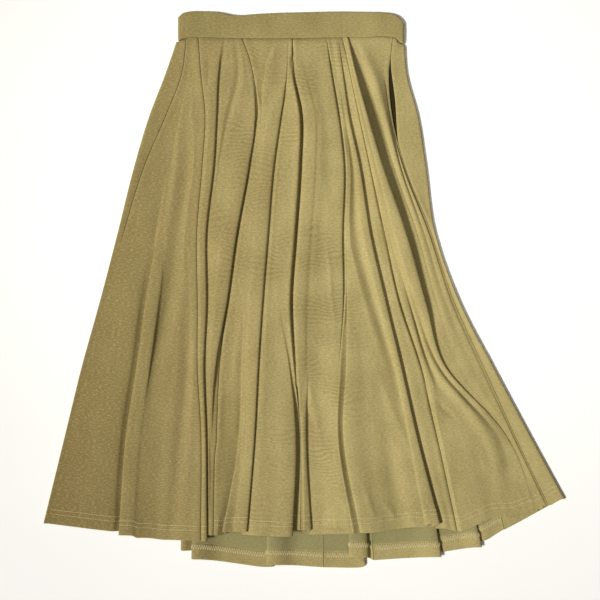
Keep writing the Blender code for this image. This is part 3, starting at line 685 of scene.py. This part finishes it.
def sway(across, down):
    """Shallow, uneven waves that run mostly down the cloth."""
    draw = np.random.default_rng(SWAY_SEED)
    total = np.zeros(across.shape)
    for _ in range(SWAY_WAVES):
        wide, long = draw.uniform(26, 70), draw.uniform(90, 330)
        turn, tilt = draw.uniform(0, 2 * math.pi), draw.choice((-1, 1))
        total += np.sin(2 * math.pi * (across / wide + tilt * down / long) + turn)
    return SWAY_HIGH * total / 3


def roll_of(seam, down):
    """How strongly the cloth rolls in at a seam: the side seams are pressed flat but for the mouth
    of the pocket, and the left one turns out of sight."""
    if seam == "L":
        return 1 - rise_by((down - SHUT_FROM) / SHUT_OVER)
    if seam == "R":
        over = rise_by((down - MOUTH[0]) / 14) * rise_by((MOUTH[1] - down) / 10)
        return 0.15 + 1.1 * over
    return np.ones(down.shape)


def relief(kind, number, seams, grid, out, to_first, to_last, to_hem, from_waist, across):
    """How far the finished cloth stands off its plain form, along the way out of the cloth."""
    facing = np.clip((out[..., 2] - 0.35) / 0.4, 0, 1) if kind == "front" else 0.25
    to_seam = np.minimum(to_first, to_last)
    lift = np.zeros(to_seam.shape)
    if kind == "front":
        for crease in CREASES:
            lift += crease_at(crease, grid[..., 0], grid[..., 1])
        lift += sway(grid[..., 0], grid[..., 1])
    lift *= facing * rise_by(to_seam / 12) * rise_by(from_waist / 14)
    seam_side = 0.0
    for seam, away in zip(seams, (to_first, to_last)):
        roll = roll_of(seam, grid[..., 1])
        seam_side = seam_side + roll * (mound(SEAM_RIDGE, away) - mound(SEAM_DIP, away))
    if kind == "back":
        seam_side *= UNDER_ROLL
    pucker = 0.1 * np.sin(grid[..., 1] * 2 * math.pi / 9.5 + number) * bell(to_seam - 2, 2.5)
    band_side = -mound(BAND_DIP, from_waist) + mound(BAND_RIDGE, from_waist)
    rows = sum(bell(to_hem - row, 0.9) for row in NEEDLE_ROWS)
    ripple = np.sin(across * 2 * math.pi / 15.5 + 1.7 * np.sin(across / 23.0 + number))
    hem = -0.2 * rows + 0.2 * ripple * bell(to_hem - 17, 8)
    hem += 0.18 * (1 - rise_by((to_hem - HEM_TURN) / 1.5)) * rise_by(to_hem / 3)
    if kind == "back":
        hem *= UNDER_HEM
    return lift + seam_side + pucker + band_side + hem


def rounded(distance, radius):
    """The share of the full thickness this far from an edge that is rounded over."""
    inward = np.clip(1 - distance / radius, 0, 1)
    return np.sqrt(np.maximum(1 - inward**2, 0.02))


def link_mesh(name, points, faces, material, cut=None):
    mesh = bpy.data.meshes.new(name)
    mesh.from_pydata(points.tolist(), [], faces)
    if cut is not None:
        layer = mesh.uv_layers.new(name="cut")
        corners = np.empty(len(mesh.loops), dtype=np.int32)
        mesh.loops.foreach_get("vertex_index", corners)
        layer.data.foreach_set("uv", (cut[corners] * MM).astype(np.float32).ravel())
    mesh.polygons.foreach_set("use_smooth", [True] * len(mesh.polygons))
    mesh.materials.append(material)
    mesh.update()
    piece = bpy.data.objects.new(name, mesh)
    bpy.context.scene.collection.objects.link(piece)
    return piece


def grid_faces(rows, columns, first, turned):
    """The faces of a grid of points, turned over if need be."""
    at = first + np.arange(rows * columns).reshape(rows, columns)
    faces = np.stack([at[:-1, :-1], at[1:, :-1], at[1:, 1:], at[:-1, 1:]], axis=-1).reshape(-1, 4)
    return (faces[:, ::-1] if turned else faces).tolist()


def shell(name, outer, inner, cut, sides, hem_rows=0):
    """A thin closed shell between two grids, rows from waist to hem, with its two sides' finishes.
    The hem is turned up to the wrong side, so its last rows show the right side there too."""
    rows, columns = outer.shape[:2]
    size = rows * columns
    faces = grid_faces(rows, columns, 0, False) + grid_faces(rows, columns, size, True)
    at = np.arange(size).reshape(rows, columns)
    rim = np.concatenate([at[0, :-1], at[:-1, -1], at[-1, :0:-1], at[:0:-1, 0]])
    after = np.roll(rim, -1)
    faces += np.stack([rim, after, after + size, rim + size], axis=1).tolist()
    points = to_world(np.concatenate([outer.reshape(-1, 3), inner.reshape(-1, 3)]))
    piece = link_mesh(name, points, faces, sides[0], np.concatenate([cut, cut]))
    piece.data.materials.append(sides[1])
    inside = (rows - 1) * (columns - 1)
    turned_up = hem_rows * (columns - 1)
    kinds = [0] * inside + [1] * (inside - turned_up) + [0] * (len(faces) - 2 * inside + turned_up)
    piece.data.polygons.foreach_set("material_index", kinds)
    return piece


def make_gores(materials):
    at, cuts = smooth_ring()
    front = [("L", "A"), ("A", "B"), ("B", "C"), ("C", "D"), ("D", "R")]
    back = [("1", "L"), ("2", "1"), ("3", "2"), ("4", "3"), ("R", "4")]
    gores = []
    for kind, seams in (("front", front), ("back", back)):
        for number, (first, last) in enumerate(seams, 1):
            grid, to_first, to_last, across = gore_cloth(at, cuts, first, last)
            to_seam = np.minimum(to_first, to_last)
            out = square_to(grid)
            down_run = np.stack([run_of(grid[:, j]) for j in range(grid.shape[1])], axis=1)
            to_hem = down_run[-1] - down_run
            grid = grid + out * relief(
                kind, number, (first, last), grid, out, to_first, to_last, to_hem, down_run, across
            )[..., None]
            out = square_to(grid)
            edge = rounded(to_seam, 0.55)
            if "L" in (first, last):
                to_left = to_first if first == "L" else to_last
                shut = rise_by((grid[..., 1] - SHUT_FROM) / SHUT_OVER) * (to_left < 2)
                edge = np.maximum(edge, shut)
            thick = CLOTH / 2 * edge * rounded(to_hem, 0.8)
            ply = HEM_PLY * (1 - rise_by((to_hem - HEM_TURN + 0.5) / 0.7)) * rise_by(to_hem / 1.2)
            outer = grid + out * thick[..., None]
            inner = grid - out * (thick + ply * rounded(to_seam, 0.8))[..., None]
            name = f"{kind}_gore_{number}"
            cut = np.stack([across, down_run], axis=-1).reshape(-1, 2)
            sides = materials[kind], materials["wrong side"]
            piece = shell(f"{name}_cloth", outer, inner, cut, sides, TURNED_ROWS)
            gores.append((name, kind, piece, outer, inner, out, to_hem))
    return gores


def at_height(surface, out, to_hem, height):
    """The line on the cloth at a distance above the hem: points and the ways out of the cloth."""
    return [
        np.array([read(grid[::-1, j], to_hem[::-1, j], height) for j in range(grid.shape[1])])
        for grid in (surface, out)
    ]


def round_faces(rings, sides, closed=False):
    """The faces that join rings of points, one after another."""
    count = rings * sides
    faces = []
    for i in range(0, count if closed else count - sides, sides):
        for j in range(sides):
            n = (j + 1) % sides
            faces.append(tuple(v % count for v in (i + j, i + n, i + sides + n, i + sides + j)))
    return faces


def thread_tube(points, ways):
    """A small closed tube round a thread that runs through points."""
    points, ways = np.array(points), np.array(ways)
    along_thread = unit(np.gradient(points, axis=0))
    side = unit(np.cross(along_thread, ways))
    up = np.cross(side, along_thread)
    turns = np.arange(TUBE_SIDES) * 2 * math.pi / TUBE_SIDES
    cosines, sines = np.cos(turns)[None, :, None], np.sin(turns)[None, :, None]
    verts = points[:, None] + THREAD / 2 * (cosines * side[:, None] + sines * up[:, None])
    faces = round_faces(len(points), TUBE_SIDES)
    size = len(points) * TUBE_SIDES
    faces += [tuple(range(TUBE_SIDES))[::-1], tuple(range(size - TUBE_SIDES, size))]
    return verts.reshape(-1, 3), faces


def stitches(low, high, path, long, margin, sink=0.0):
    """The threads sewn along the hem between two lines, each bent along the same path."""
    (low, ways), (high, _) = low, high
    run = run_of(low)
    tubes = []
    for n in range(int((run[-1] - 2 * margin) / STITCH_PITCH)):
        points, wayed = [], []
        for share, up, lift in path:
            place = margin + n * STITCH_PITCH + share * long
            a, b = read(low, run, place), read(high, run, place)
            wayed.append(unit(read(ways, run, place)))
            points.append(a + (b - a) * up + wayed[-1] * (lift - sink))
        tubes.append(thread_tube(points, wayed))
    return tubes


def needle_stitches(surface, out, to_hem, sink):
    """The short stitches of the two needle rows on the right side of the cloth."""
    rows = [at_height(surface, out, to_hem, row) for row in NEEDLE_ROWS]
    return sum((stitches(row, row, NEEDLE_PATH, STITCH_LENGTH, 1.5, sink) for row in rows), [])


def looper_threads(surface, out, to_hem):
    """The looper threads on the wrong side, back and forth between the two needle rows."""
    rows = [at_height(surface, -out, to_hem, row) for row in NEEDLE_ROWS]
    return stitches(*rows, LOOPER_PATH, STITCH_PITCH, 2.0)


def sew(name, tubes, material):
    """One piece of all the stitches of a gore."""
    points, faces, first = [], [], 0
    for verts, sides in tubes:
        points.append(verts)
        faces += [tuple(first + v for v in side) for side in sides]
        first += len(verts)
    return link_mesh(name, to_world(np.concatenate(points)), faces, material)


def make_waistband(material):
    """A flattened ring of doubled cloth with its top folded over and its lower edge sewn in."""
    low = BAND_CLOTH / 2
    high = low + BAND_CLOTH + BAND_HOLLOW
    left, right = BAND_ACROSS[0] + BAND_INSET, BAND_ACROSS[-1] - BAND_INSET
    half = (high - low) / 2
    end = np.array([0, 0.8, 1.8, 3])
    flat = np.concatenate([left + end, np.arange(left + 5, right - 4, 2.6), right - end[::-1]])
    turns = [(half * math.sin(a), half * math.cos(a)) for a in (0.6, 1.2, 1.94, 2.54)]
    right_turned = [(right + x, low + half + z) for x, z in turns]
    left_turned = [(left - x, low + half - z) for x, z in turns]
    path = [(x, high) for x in flat] + right_turned + [(x, low) for x in flat[::-1]] + left_turned
    path = np.array(path)
    step = np.roll(path, -1, axis=0) - np.roll(path, 1, axis=0)
    step /= np.linalg.norm(step, axis=1)[:, None]
    out = np.stack([-step[:, 1], step[:, 0]], axis=1)
    run = run_of(np.concatenate([path, path[:1]]))
    steps = (3, 8, 14, 20, 26, 31)
    angles = [k * math.pi / 6 - math.pi / 2 for k in range(7)]
    bend = [(1.2 * (1 - math.cos(a)), math.sin(a)) for a in angles]
    # (part, how far from the edge it is counted from, share of the thickness)
    around = [("top", far, side) for far, side in bend]
    around += [("face", far, 1.0) for far in steps]
    around += [("foot", far, -side) for far, side in bend]
    around += [("face", far, -1.0) for far in steps[::-1]]
    points, cut = [], []
    for (x, z), way, place in zip(path, out, run):
        at_x = min(max(x, BAND_ACROSS[0]), BAND_ACROSS[-1])
        top, foot = smooth(BAND_ACROSS, BAND_TOP, at_x), band_seam(at_x)
        deep = foot - top
        up_side = max(0.0, way[1])
        wave = 0.6 * math.sin(x / 5.3 + 0.8) + math.sin(x / 8.9 + 2.0) + 0.9 * math.sin(x / 14.7)
        for part, far, side in around:
            if part == "top":
                down = top + far
            elif part == "foot":
                down = foot - far
            else:
                down = top + far / BAND_FACE * deep
            share = (down - top) / deep
            swell = 0.3 * wave * up_side * math.sin(math.pi * share) ** 0.7
            swell += 0.7 * math.sin(math.pi * share) * up_side
            seam_roll = -0.6 * math.exp(-(((foot - down) / 1.6) ** 2)) * max(side, 0) * up_side
            off = side * BAND_CLOTH / 2 + (swell + seam_roll if side > -0.5 else 0)
            points.append((x + way[0] * off, down, z + way[1] * off))
            cut.append((place, down + (37 if side < 0 else 0)))
    faces = round_faces(len(path), len(around), closed=True)
    return link_mesh("waistband_cloth", to_world(points), faces, material, np.array(cut))


def make_pocket_bag(material):
    """The two plain sheets of the pocket, between front and back."""
    middle = (BAG_DOWN[0] + BAG_DOWN[1]) / 2
    half = (BAG_DOWN[1] - BAG_DOWN[0]) / 2
    low = CLOTH + LAYER_GAP * 0.8 + BAG_CLOTH / 2
    high = low + BAG_CLOTH + LAYER_GAP * 0.8
    pieces = []
    for name, height in (("pocket_bag_back", low), ("pocket_bag_front", high)):
        grid = []
        for i in range(BAG_ROWS):
            s = math.sin(math.pi / 2 * (2 * i / (BAG_ROWS - 1) - 1))
            down = middle + half * s
            edge = along(RIGHT_SEAM, down)
            wide = BAG_NARROW + (BAG_WIDE - BAG_NARROW) * (1 - abs(s) ** 2.6) ** 0.5
            end = edge - 2.5 if height == high else edge - 1.5
            line = [(x, down, height) for x in np.linspace(edge - wide, end, BAG_COLUMNS)]
            if height == low:
                line += [(edge + 1, down, blend(low, high, 0.5))]
                line += [(edge + x, down, high) for x in (3.5, 4.3, 5 + mouth_gap(down))]
            grid.append(line)
        grid = np.array(grid)
        lift = np.array([0, 0, BAG_CLOTH / 2])
        across = grid[..., 0] - grid[..., -1:, 0]
        cut = np.stack([across, grid[..., 1]], axis=-1).reshape(-1, 2)
        sheet = shell(f"{name}_cloth", grid + lift, grid - lift, cut, (material, material))
        pieces.append((name, sheet))
    return pieces


def colour(code):
    """A linear colour from an sRGB hex value."""
    values = [int(code[k : k + 2], 16) / 255 for k in (1, 3, 5)]
    return (*(v / 12.92 if v <= 0.04045 else ((v + 0.055) / 1.055) ** 2.4 for v in values), 1)


def add(tree, kind, inputs=(), **settings):
    """A node with its settings. inputs gives each socket a value or another node's output."""
    node = tree.nodes.new(kind)
    for name, value in settings.items():
        setattr(node, name, value)
    for socket, value in dict(inputs).items():
        if isinstance(value, bpy.types.NodeSocket):
            tree.links.new(value, node.inputs[socket])
        else:
            node.inputs[socket].default_value = value
    return node


def mixed(tree, share, first, second):
    """Two colours mixed. A colour mix has them in its seventh and eighth sockets."""
    inputs = {0: share, 6: first, 7: second}
    return add(tree, "ShaderNodeMix", inputs, data_type="RGBA").outputs[2]


def new_material(name, settings):
    """A material with its tree and its shader, whose sockets have the settings."""
    material = bpy.data.materials.new(name)
    material.use_nodes = True
    shader = material.node_tree.nodes["Principled BSDF"]
    for socket, value in settings.items():
        shader.inputs[socket].default_value = value
    return material, material.node_tree, shader


def mottled(name, size, detail, first, second, settings):
    """A material whose colour wanders between two shades."""
    material, tree, shader = new_material(name, settings)
    place = add(tree, "ShaderNodeTexCoord").outputs["Object"]
    inputs = {"Vector": place, "Scale": 1 / size, "Detail": detail}
    share = add(tree, "ShaderNodeTexNoise", inputs).outputs["Fac"]
    shade = mixed(tree, share, colour(first), colour(second))
    tree.links.new(shade, shader.inputs["Base Color"])
    return material


# The knit, in metres
WAVE = 2 * math.pi / 20  # a wave texture's own period
WALE = 0.0012  # distance between the wales, drawn nearly twice as coarse so that they show
HEATHER = 0.0017  # the fleck of the yarn, drawn twice as coarse too
CLOUD = 0.05  # the size of the uneven dyeing
RIPPLE = 0.0062  # distance between the watered ripples
RIPPLE_PATCH = 0.06  # they come and go at this size
RIPPLED_TO = ((-0.12, -0.17), (0.05, 0.1))  # the ripples fade out to the left and right over this
SHADED_LEFT_TO_LIT_RIGHT = (-0.38, 0.06)  # painted shade and light: the cloth is darker and browner at its left edge, where the light falls off, and lighter and yellower from here on
DULL = {
    "IOR": 1.47,
    "Specular IOR Level": 0.25,
    "Sheen Weight": 0.15,
    "Sheen Roughness": 0.45,
    "Sheen Tint": colour("#E8DDB0"),
}


def double_knit(name, left, right, deep, fleck, rippled):
    """Heavy ponte double knit: dull, dense and slightly heathered. Its fine wales give the eye a
    soft grain with faint watered ripples, and its surface fuzz lifts grazing light."""
    material, tree, shader = new_material(name, DULL)
    cut = add(tree, "ShaderNodeUVMap", uv_map="cut").outputs["UV"]
    place = add(tree, "ShaderNodeTexCoord").outputs["Object"]
    sideways = add(tree, "ShaderNodeSeparateXYZ", {"Vector": place}).outputs["X"]

    def ranged(value, *ends):
        """A value from between the first two ends, moved to between the others or 0 and 1."""
        inputs = dict(zip(("From Min", "From Max", "To Min", "To Max"), ends), Value=value)
        return add(tree, "ShaderNodeMapRange", inputs).outputs["Result"]

    def noise(size, detail, roughness=0.55, at=place):
        inputs = {"Vector": at, "Scale": 1 / size, "Detail": detail, "Roughness": roughness}
        return add(tree, "ShaderNodeTexNoise", inputs).outputs["Fac"]

    def waves(apart, way, distortion, **more):
        inputs = {"Vector": cut, "Scale": WAVE / apart, "Distortion": distortion, **more}
        return add(tree, "ShaderNodeTexWave", inputs, bands_direction=way).outputs["Fac"]

    def times(first, second):
        return add(tree, "ShaderNodeMath", {0: first, 1: second}, operation="MULTIPLY").outputs[0]

    def bumped(height, strength, distance, **under):
        inputs = {"Height": height, "Strength": strength, "Distance": distance, **under}
        return add(tree, "ShaderNodeBump", inputs).outputs[0]

    wales = waves(WALE, "X", 0.6)
    along_courses = add(tree, "ShaderNodeMapping", {"Vector": cut, "Scale": (0.4, 1, 1)}).outputs[0]
    heather = noise(HEATHER, 3.0, 0.65, along_courses)
    watered = waves(RIPPLE, "Y", 24.0, **{"Detail": 1.5, "Detail Scale": 0.3})
    where = ranged(noise(RIPPLE_PATCH, 1.0), 0.45, 0.62, 0.0, rippled)
    for near, far in RIPPLED_TO:
        where = times(where, ranged(sideways, far, near))
    ripple = times(watered, where)
    # painted shade and light: the base colour runs from the darker left colour, shade where the
    # light falls off, to the lighter right one
    body = mixed(tree, ranged(sideways, *SHADED_LEFT_TO_LIT_RIGHT), colour(left), colour(right))
    for share, tint in (
        (ranged(noise(CLOUD, 3.0), 0.35, 0.75, 0.0, 0.3), deep),
        (ranged(heather, 0.5, 0.7, 0.0, 0.4), fleck),
        (ranged(heather, 0.5, 0.3, 0.0, 0.4), deep),
        (ripple, deep),
    ):
        body = mixed(tree, share, body, colour(tint))
    tree.links.new(body, shader.inputs["Base Color"])
    normal = bumped(wales, 0.15, 0.0003)
    normal = bumped(heather, 0.5, 0.0005, Normal=normal)
    if rippled:
        normal = bumped(ripple, 0.5, 0.0004, Normal=normal)
    tree.links.new(normal, shader.inputs["Normal"])
    tree.links.new(ranged(heather, 0.3, 0.7, 0.8, 0.95), shader.inputs["Roughness"])
    return material


def sewing_thread():
    """Spun polyester sewing thread in a paler khaki: a soft lustre and a fine twist."""
    lustre = {"Roughness": 0.6, "Specular IOR Level": 0.4}
    return mottled("spun_polyester_thread", 1 / 900, 1.0, "#C9BD8C", "#E9E0BC", lustre)


def make_floor():
    """A plain pale board to lie on, matt and nearly white."""
    matt = {"Roughness": 0.9, "Specular IOR Level": 0.1}
    material = mottled("pale_painted_board", 1 / 3, 2.0, "#F4F4F2", "#FAFAF8", matt)
    corners = np.array([(-1, -1, 0), (1, -1, 0), (1, 1, 0), (-1, 1, 0)]) * FLOOR_HALF
    link_mesh("floor", corners - (0, 0, FLOOR_LOW), [(0, 1, 2, 3)], material)


FLOOR_HALF = 6.0  # half the side of the floor, in metres
FLOOR_LOW = 0.0002  # it lies this far below the cloth, so that the two never share a plane
PHOTO_SIDE = 600  # pixels
PHOTO_SCALE = 1.44  # millimetres to a pixel
EYE_ACROSS, EYE_ALONG = -6.12, -14.72  # where the photo's middle lies, in millimetres
DAYLIGHT = (1.0, 0.99, 0.965)


def link_new(name, data, place, turned=(0, 0, 0)):
    """A lamp or camera in its place, turned by these degrees."""
    holder = bpy.data.objects.new(name, data)
    bpy.context.scene.collection.objects.link(holder)
    holder.location = place
    holder.rotation_euler = [math.radians(angle) for angle in turned]
    return holder


def lamp(kind, name, energy, place, turned):
    light = bpy.data.lights.new(name, kind)
    light.energy = energy
    light.color = DAYLIGHT
    link_new(name, light, place, turned)
    return light


def light_and_look():
    """Soft light from all round, a broad key from the left, a wide spot on the upper middle and the
    camera straight above."""
    world = bpy.data.worlds.new("studio")
    world.use_nodes = True
    sky = world.node_tree.nodes["Background"]
    sky.inputs["Color"].default_value = (1, 0.93, 0.83, 1)
    sky.inputs["Strength"].default_value = 0.11
    scene = bpy.context.scene
    scene.world = world
    key = lamp("SUN", "key", 3.1, (0, 0, 2), (14, -41, 0))
    key.angle = math.radians(14)
    spot = lamp("SPOT", "spot", 19.0, (0.03, 0.13, 1.5), (0, 0, 0))
    spot.spot_size = math.radians(52)
    spot.spot_blend = 1.0
    spot.shadow_soft_size = 0.2
    camera = bpy.data.cameras.new("above")
    camera.lens = 100
    camera.sensor_width = 36
    high = PHOTO_SIDE * PHOTO_SCALE * MM * camera.lens / camera.sensor_width
    scene.camera = link_new("above", camera, (EYE_ACROSS * MM, EYE_ALONG * MM, high))
    scene.view_settings.view_transform = "Standard"
    scene.view_settings.look = "Medium High Contrast"


def finish_piece(piece, node):
    """Hang a sheet of cloth on the root body and hide the part that it replaces."""
    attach(piece, "root")
    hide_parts(node)


def main():
    # left, right, deep and fleck colours; the darker left colour is painted shade where the light
    # falls off
    outside = ("#84744A", "#ADA070", "#796A41", "#CABE8F")
    inside = ("#918A62", "#969066", "#7A7450", "#ADA680")
    band = ("#8B7D53", "#9E9263", "#776A44", "#C2B68A")
    # painted shade: the pocket bag is coloured near black so that the open mouth of the pocket
    # looks as dark as a deep shaded hollow
    pocket = ("#332B14", "#332B14", "#211B0C", "#463C20")
    knits = {
        "front": double_knit("ponte_knit_front", *outside, 0.3),
        "back": double_knit("ponte_knit_back", *outside, 0.0),
        "wrong side": double_knit("ponte_knit_wrong_side", *inside, 0.0),
    }
    band_knit = double_knit("ponte_knit_band", *band, 0.1)
    pocket_painted_shade_knit = double_knit("pocket_knit_painted_shade", *pocket, 0.0)
    thread = sewing_thread()
    gores = make_gores(knits)
    for name, kind, piece, outer, inner, out, to_hem in gores:
        sink = 0.0 if kind == "front" else 0.22
        sewn = [sew(f"{name}_hem_stitches", needle_stitches(outer, out, to_hem, sink), thread)]
        if kind == "back":
            sewn.append(sew(f"{name}_looper_threads", looper_threads(inner, out, to_hem), thread))
        for row in sewn:
            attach(row, "root")
        finish_piece(piece, name)
    finish_piece(make_waistband(band_knit), "waistband")
    for name, piece in make_pocket_bag(pocket_painted_shade_knit):
        finish_piece(piece, name)
    make_floor()
    light_and_look()


main()
